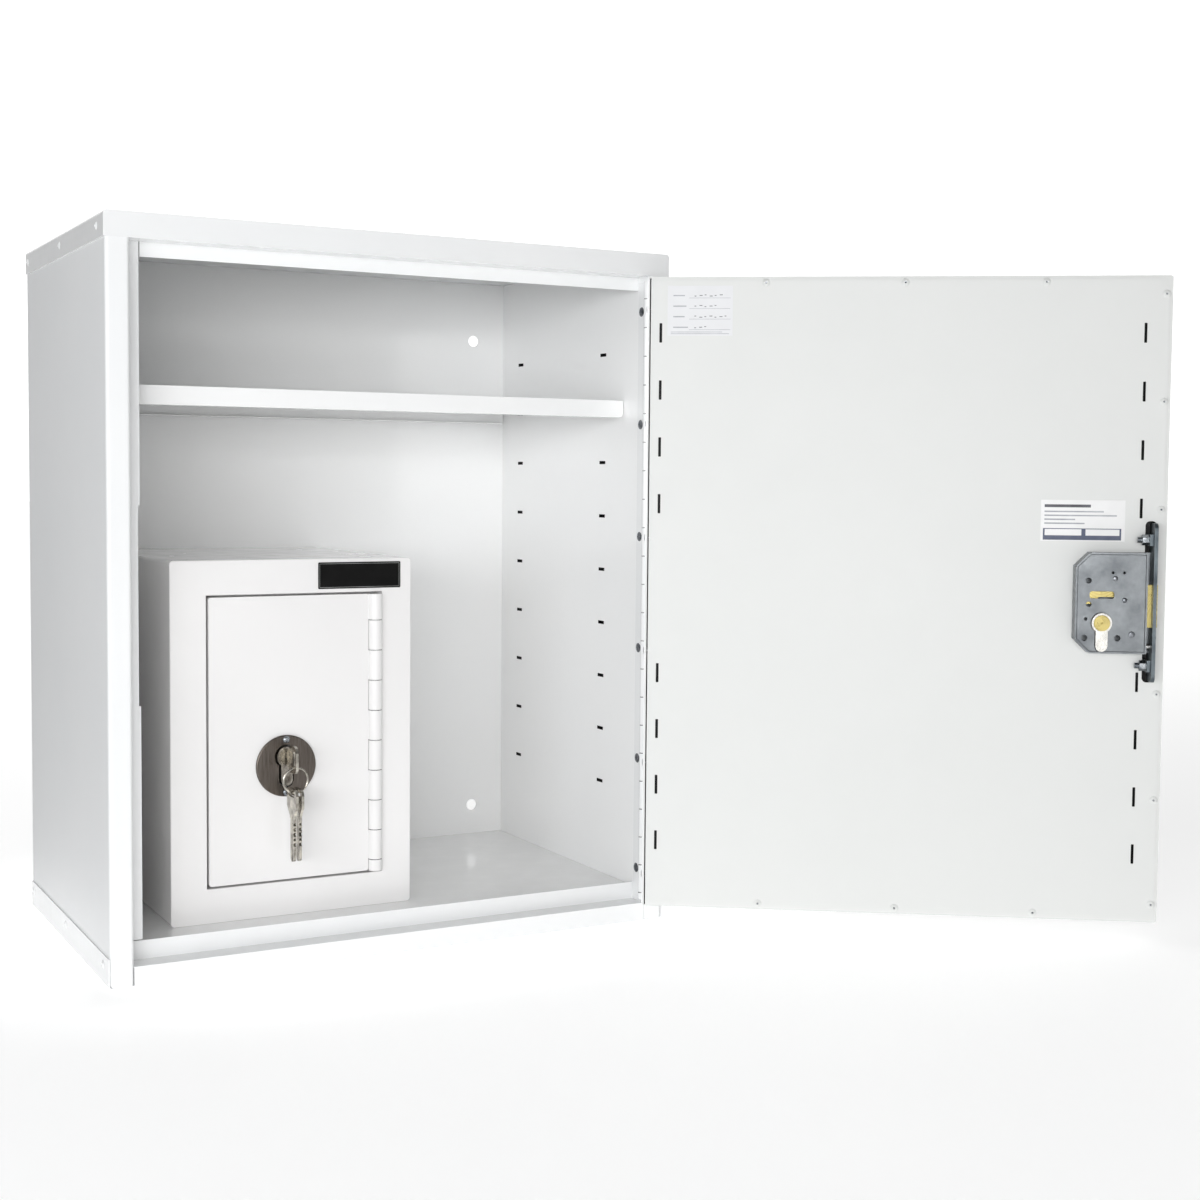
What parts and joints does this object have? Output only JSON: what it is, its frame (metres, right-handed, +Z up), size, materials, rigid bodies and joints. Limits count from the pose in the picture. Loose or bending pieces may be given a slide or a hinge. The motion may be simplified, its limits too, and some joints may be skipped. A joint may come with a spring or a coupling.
{
  "type": "lockable medicine cabinet",
  "caption": "Wall-hung white steel medicine cabinet with an open lockable door, an adjustable shelf and a smaller lockable inner cabinet with its keys.",
  "frame": {"origin": "centre of the cabinet's underside", "axes": "+X to the right seen from the front, +Y from the front to the wall, +Z up"},
  "size_m": [0.8493, 0.5805, 0.6],
  "materials": {
    "white_powder_coat": "glossy white powder coat",
    "zinc_plated_steel": "bright zinc",
    "grey_lock_paint": "satin grey",
    "brass": "satin",
    "satin_nickel": "satin nickel",
    "brushed_escutcheon": "brushed",
    "nickel_key": "polished nickel",
    "label_film": "semi-matt film",
    "plaque_film": "gloss black film with a thin pale border"
  },
  "bodies": {
    "cabinet": {"top_cap": "white_powder_coat", "base_tray": "white_powder_coat", "side_panel_left": "white_powder_coat", "side_panel_right": "white_powder_coat", "side_liner_left": "white_powder_coat", "side_liner_right": "white_powder_coat", "back_panel": "white_powder_coat", "floor_panel": "white_powder_coat", "cap_rivets": "white_powder_coat", "base_rivets": "white_powder_coat", "shelf_clips": "zinc_plated_steel", "hinge_leaf_fixed": "white_powder_coat", "hinge_pin": "zinc_plated_steel", "hinge_screws_fixed": "zinc_plated_steel", "inner_carcass": "white_powder_coat", "inner_front_frame": "white_powder_coat", "inner_fixing_bolts": "zinc_plated_steel", "inner_plaque": "plaque_film", "inner_hinge_leaf_fixed": "white_powder_coat", "inner_hinge_pin": "zinc_plated_steel"},
    "shelf": {"shelf": "white_powder_coat"},
    "main_door": {"hinge_leaf_door": "white_powder_coat", "hinge_screws_door": "zinc_plated_steel", "door_skin": "white_powder_coat", "door_panel": "white_powder_coat", "door_panel_rivets": "white_powder_coat", "door_record_label": "label_film", "door_info_label": "label_film", "door_lock_brackets": "grey_lock_paint", "door_lock_case": "grey_lock_paint", "door_lock_cover": "grey_lock_paint", "door_lock_studs": "zinc_plated_steel", "door_lock_forend": "grey_lock_paint", "door_lock_faceplate": "satin_nickel", "door_forend_screws": "zinc_plated_steel", "door_forend_nuts": "zinc_plated_steel", "door_cylinder": "satin_nickel", "door_cylinder_screw": "zinc_plated_steel", "door_escutcheon": "brushed_escutcheon", "door_escutcheon_screws": "brushed_escutcheon"},
    "main_plug": {"door_lock_plug": "brass"},
    "main_bolt": {"door_lock_bolt": "brass"},
    "inner_door": {"inner_hinge_leaf_door": "white_powder_coat", "inner_door_skin": "white_powder_coat", "inner_door_panel": "white_powder_coat", "inner_lock_case": "grey_lock_paint", "inner_lock_cover": "grey_lock_paint", "inner_lock_studs": "zinc_plated_steel", "inner_lock_forend": "grey_lock_paint", "inner_forend_screws": "zinc_plated_steel", "inner_cylinder": "satin_nickel", "inner_cylinder_screw": "zinc_plated_steel", "inner_escutcheon": "brushed_escutcheon", "inner_escutcheon_screws": "brushed_escutcheon"},
    "inner_plug": {"inner_lock_plug": "brass"},
    "inner_bolt": {"inner_lock_bolt": "brass"},
    "key": {"key_in_lock": "nickel_key"},
    "key_ring": {"key_ring": "nickel_key"},
    "spare_key_left": {"spare_key_left": "nickel_key"},
    "spare_key_right": {"spare_key_right": "nickel_key"}
  },
  "joints": [
    {"name": "main_door_hinge", "type": "hinge", "parent": "cabinet", "child": "main_door", "pos_m": [0.2272, -0.15, 0.2975], "axis": [0, 0, 1], "range_deg": [-145.3, 29.7]},
    {"name": "main_key_turn", "type": "hinge", "parent": "main_door", "child": "main_plug", "pos_m": [0.53751, -0.39589, 0.28], "axis": [-0.5693, -0.8221, 0], "range_deg": [0, 360]},
    {"name": "main_bolt_throw", "type": "slide", "parent": "main_door", "child": "main_bolt", "axis": [0.8221, -0.5693, 0], "range_m": [0, 0.02]},
    {"name": "inner_door_hinge", "type": "hinge", "parent": "cabinet", "child": "inner_door", "pos_m": [-0.0074, -0.0932, 0.18], "axis": [0, 0, 1], "range_deg": [0, 110]},
    {"name": "inner_key_turn", "type": "hinge", "parent": "inner_door", "child": "inner_plug", "pos_m": [-0.088, -0.0732, 0.1638], "axis": [0, 1, 0], "range_deg": [0, 360]},
    {"name": "inner_bolt_throw", "type": "slide", "parent": "inner_door", "child": "inner_bolt", "axis": [-1, 0, 0], "range_m": [0, 0.02]},
    {"name": "key_withdraw", "type": "slide", "parent": "inner_plug", "child": "key", "axis": [0, -1, 0], "range_m": [0, 0.041]},
    {"name": "key_ring_swing", "type": "hinge", "parent": "key", "child": "key_ring", "pos_m": [-0.088, -0.1187, 0.1575], "axis": [-1, 0, 0], "range_deg": [-5, 45]},
    {"name": "spare_key_left_swing", "type": "hinge", "parent": "key_ring", "child": "spare_key_left", "pos_m": [-0.0905, -0.1187, 0.13714], "axis": [-1, 0, 0], "range_deg": [-5, 30]},
    {"name": "spare_key_right_swing", "type": "hinge", "parent": "key_ring", "child": "spare_key_right", "pos_m": [-0.0855, -0.1187, 0.13714], "axis": [-1, 0, 0], "range_deg": [-5, 30]},
    {"name": "shelf_lift", "type": "slide", "parent": "cabinet", "child": "shelf", "axis": [0, 0, 1], "range_m": [0, 0.04]}
  ],
  "couplings": [
    {"joint": "main_key_turn", "follows": "main_bolt_throw", "rad_per_m": 314.16},
    {"joint": "inner_bolt_throw", "follows": "inner_key_turn", "m_per_rad": 0.003183}
  ]
}
